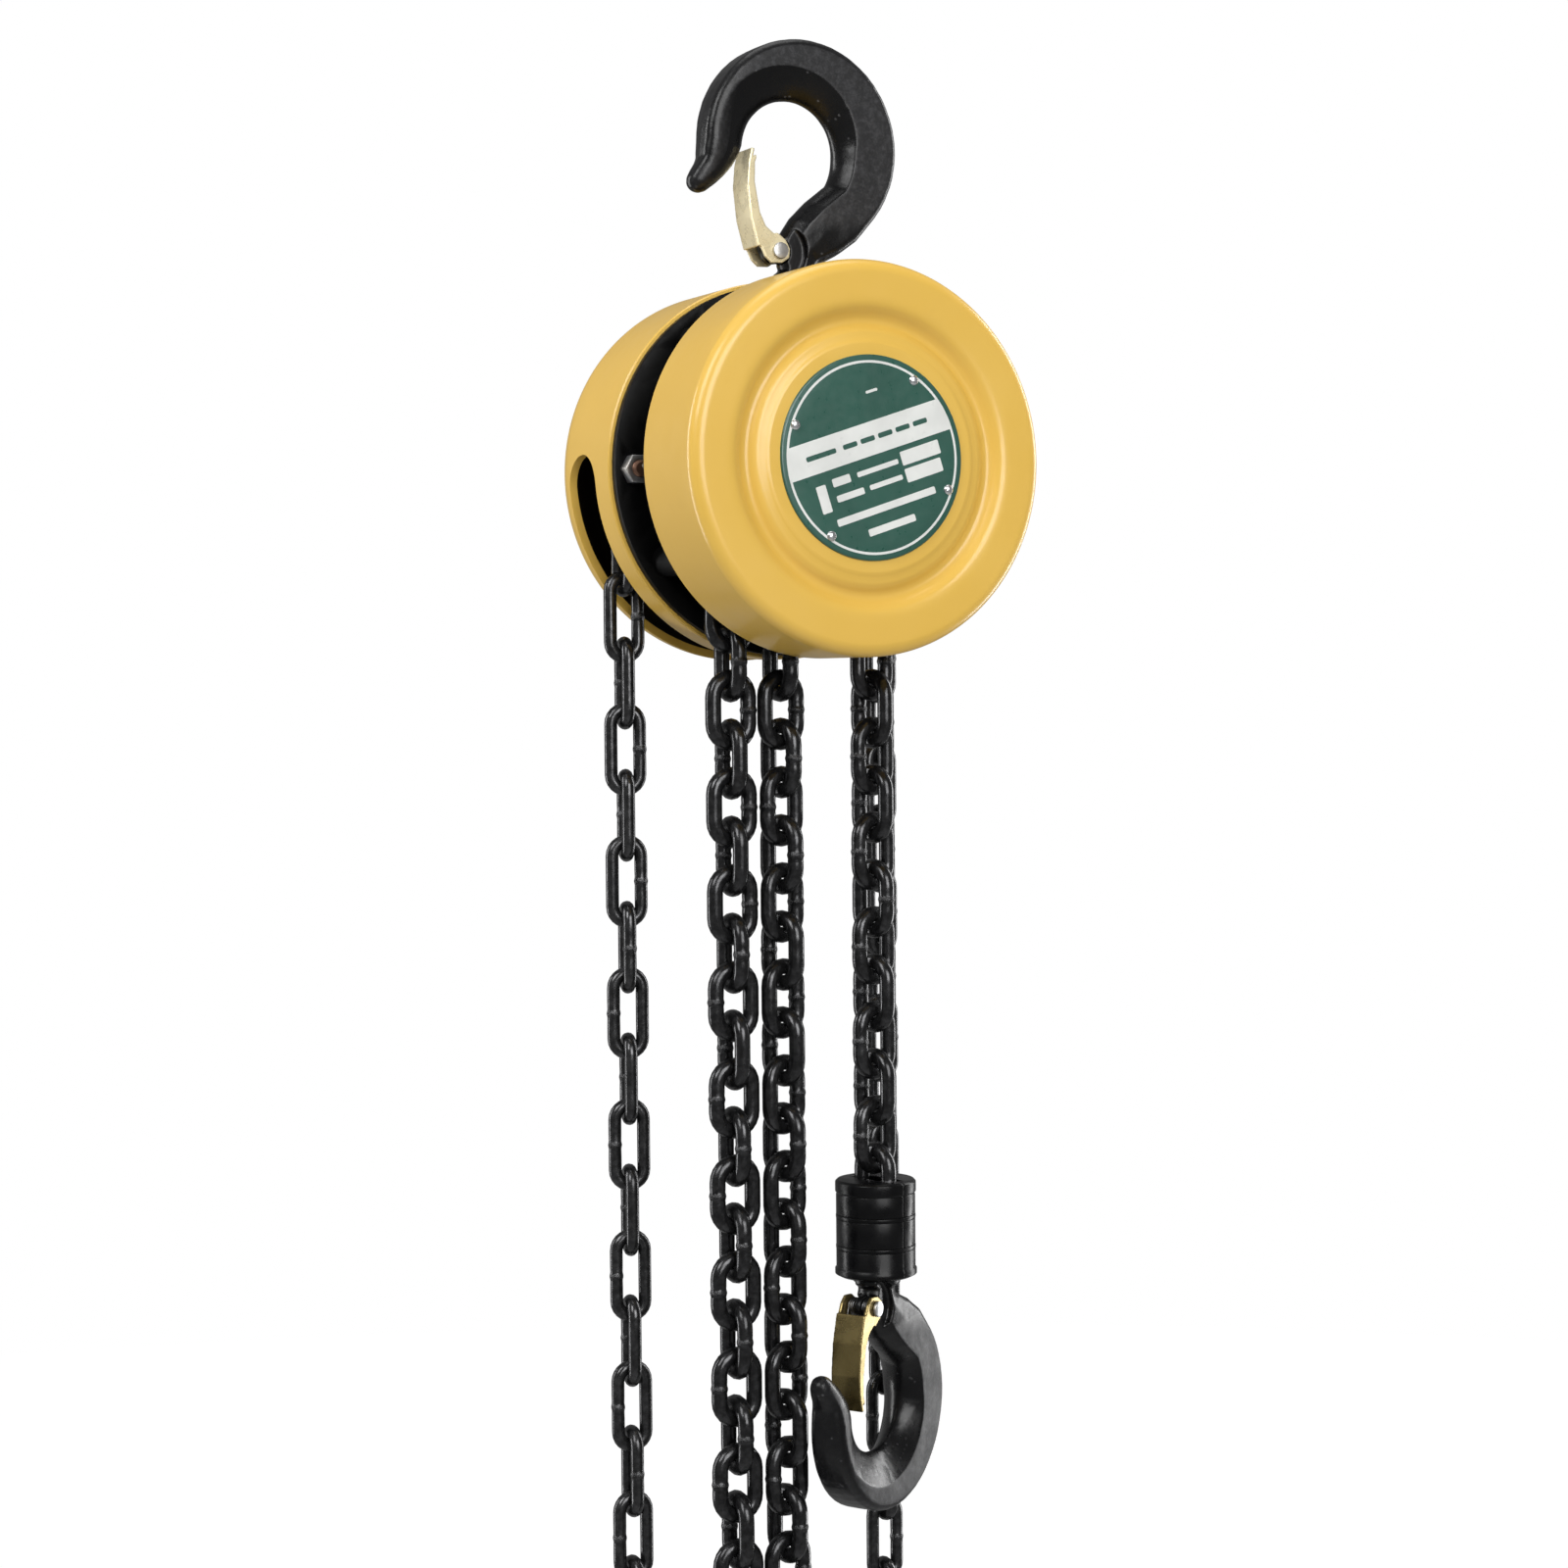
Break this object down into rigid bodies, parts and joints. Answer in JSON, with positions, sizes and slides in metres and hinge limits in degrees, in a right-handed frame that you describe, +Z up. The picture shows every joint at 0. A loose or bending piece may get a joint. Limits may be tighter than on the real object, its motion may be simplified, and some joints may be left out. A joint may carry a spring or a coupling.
{
  "type": "hand chain hoist",
  "caption": "Round-bodied hand chain hoist with a top suspension hook, a swivelling load hook on a single chain fall, and an endless hand chain.",
  "frame": {"origin": "seat of the top hook, at the crown of its bowl, 4 mm from the axis of the shank", "axes": "+Z up along the hang line, +Y along the hoist shaft from the gear side to the hand wheel side, +X towards the loaded chain"},
  "size_m": [0.142, 0.1286, 0.672],
  "materials": {
    "yellow_paint": "semi-gloss stoved enamel",
    "black_plate": "satin black",
    "forged_black": "satin black over forged steel",
    "chain_black": "semi-gloss black oxide",
    "hand_chain_black": "dark oxide",
    "block_black": "satin black",
    "machined_steel": "machined, lightly oiled",
    "dark_steel": "hardened, dark",
    "cast_wheel": "as cast with machined faces",
    "zinc_yellow": "yellow zinc plate",
    "zinc_bronze": "aged yellow zinc plate",
    "zinc_white": "bright zinc plate",
    "stud_brown": "copper-brown flash on steel",
    "friction": "woven friction lining",
    "green_plate": "printed enamel, dark green and white",
    "rivet": "bright",
    "spring_steel": "dark spring wire"
  },
  "bodies": {
    "frame": {"front_side_plate": "black_plate", "rear_side_plate": "black_plate", "stay_bolts": "dark_steel", "stay_spacers": "black_plate", "stay_nuts": "zinc_yellow", "gear_plate": "black_plate", "gear_cover": "yellow_paint", "nameplate": "green_plate", "nameplate_rivets": "rivet", "wheel_cover": "yellow_paint", "cover_studs": "stud_brown", "cover_nuts": "zinc_white", "chain_stripper": "forged_black", "roller_pins": "machined_steel", "tail_pin": "machined_steel", "sheave_bearings": "machined_steel", "pawl_pins": "machined_steel", "pawl_springs": "spring_steel", "top_pin": "machined_steel", "load_chain_upper": "chain_black", "load_chain_slack": "chain_black", "hand_chain": "hand_chain_black"},
    "wheel_shaft": {"drive_shaft": "machined_steel", "brake_hub": "machined_steel", "friction_discs": "friction", "ratchet_disc": "machined_steel", "hand_wheel": "cast_wheel", "castle_nut": "zinc_white", "split_pin": "zinc_white"},
    "sheave": {"load_sheave": "cast_wheel", "load_gear": "machined_steel", "sheave_circlip": "spring_steel"},
    "disc_gear_l": {"disc_gear_left": "machined_steel"},
    "disc_gear_r": {"disc_gear_right": "machined_steel"},
    "roller_l": {"guide_roller_left": "dark_steel"},
    "roller_r": {"guide_roller_right": "dark_steel"},
    "pawl_u": {"pawl_upper": "dark_steel"},
    "pawl_l": {"pawl_lower": "dark_steel"},
    "yoke": {"top_yoke_left": "forged_black", "top_yoke_right": "forged_black"},
    "hook_top": {"top_hook": "forged_black", "top_thrust_balls": "machined_steel", "top_latch_pin": "zinc_white", "top_latch_spring": "spring_steel"},
    "latch_top": {"top_latch": "zinc_yellow"},
    "block": {"lower_block_left": "block_black", "lower_block_right": "block_black", "block_rings": "spring_steel", "chain_pin": "machined_steel", "load_chain_lower": "chain_black"},
    "hook_low": {"lower_hook": "forged_black", "lower_thrust_balls": "machined_steel", "lower_latch_pin": "zinc_white", "lower_latch_spring": "spring_steel"},
    "latch_low": {"lower_latch": "zinc_bronze"}
  },
  "joints": [
    {"name": "hand_wheel_turn", "type": "hinge", "parent": "frame", "child": "wheel_shaft", "pos_m": [0.004, 0, -0.1355], "axis": [0, -1, 0], "range_deg": [0, 3240], "deforming": ["load_chain_upper", "load_chain_lower", "load_chain_slack", "hand_chain"]},
    {"name": "load_sheave_turn", "type": "hinge", "parent": "frame", "child": "sheave", "pos_m": [0.004, 0, -0.1355], "axis": [0, -1, 0], "range_deg": [0, 216.01]},
    {"name": "disc_gear_left_turn", "type": "hinge", "parent": "frame", "child": "disc_gear_l", "pos_m": [-0.026, 0, -0.1355], "axis": [0, -1, 0], "range_deg": [-648, 0]},
    {"name": "disc_gear_right_turn", "type": "hinge", "parent": "frame", "child": "disc_gear_r", "pos_m": [0.034, 0, -0.1355], "axis": [0, -1, 0], "range_deg": [-648, 0]},
    {"name": "load_lift", "type": "slide", "parent": "frame", "child": "block", "axis": [0, 0, 1], "range_m": [0, 0.108]},
    {"name": "lower_hook_swivel", "type": "hinge", "parent": "block", "child": "hook_low", "pos_m": [0.03427, 0, -0.45], "axis": [0, 0, 1], "continuous": true},
    {"name": "lower_latch_hinge", "type": "hinge", "parent": "hook_low", "child": "latch_low", "pos_m": [0.02527, -0.00541, -0.45175], "axis": [0.515, -0.8572, 0], "range_deg": [0, 40], "stiffness_Nm_per_rad": 0.05, "springref_deg": -17.19, "deforming": ["lower_latch_spring"]},
    {"name": "top_yoke_tilt", "type": "hinge", "parent": "frame", "child": "yoke", "pos_m": [0.004, 0, -0.0875], "axis": [0, 1, 0], "range_deg": [-8, 8]},
    {"name": "top_hook_swivel", "type": "hinge", "parent": "yoke", "child": "hook_top", "pos_m": [0.004, 0, -0.06], "axis": [0, 0, 1], "continuous": true},
    {"name": "top_latch_hinge", "type": "hinge", "parent": "hook_top", "child": "latch_top", "pos_m": [-0.0065, 0, -0.056], "axis": [0, 1, 0], "range_deg": [0, 40], "stiffness_Nm_per_rad": 0.05, "springref_deg": -17.19, "deforming": ["top_latch_spring"]},
    {"name": "guide_roller_left_turn", "type": "hinge", "parent": "frame", "child": "roller_l", "pos_m": [-0.04262, 0, -0.1455], "axis": [0, 1, 0], "continuous": true},
    {"name": "guide_roller_right_turn", "type": "hinge", "parent": "frame", "child": "roller_r", "pos_m": [0.05157, 0, -0.1495], "axis": [0, 1, 0], "continuous": true},
    {"name": "pawl_upper_hinge", "type": "hinge", "parent": "frame", "child": "pawl_u", "pos_m": [0.03581, 0, -0.10583], "axis": [0, 1, 0], "range_deg": [0, 22], "stiffness_Nm_per_rad": 0.03, "springref_deg": -11.46, "deforming": ["pawl_springs"]},
    {"name": "pawl_lower_hinge", "type": "hinge", "parent": "frame", "child": "pawl_l", "pos_m": [-0.02781, 0, -0.16517], "axis": [0, 1, 0], "range_deg": [0, 22], "stiffness_Nm_per_rad": 0.03, "springref_deg": -11.46}
  ],
  "couplings": [
    {"joint": "load_sheave_turn", "follows": "hand_wheel_turn", "ratio": 0.066667},
    {"joint": "disc_gear_left_turn", "follows": "hand_wheel_turn", "ratio": -0.2},
    {"joint": "disc_gear_right_turn", "follows": "hand_wheel_turn", "ratio": -0.2},
    {"joint": "load_lift", "follows": "hand_wheel_turn", "m_per_rad": 0.0019099}
  ]
}
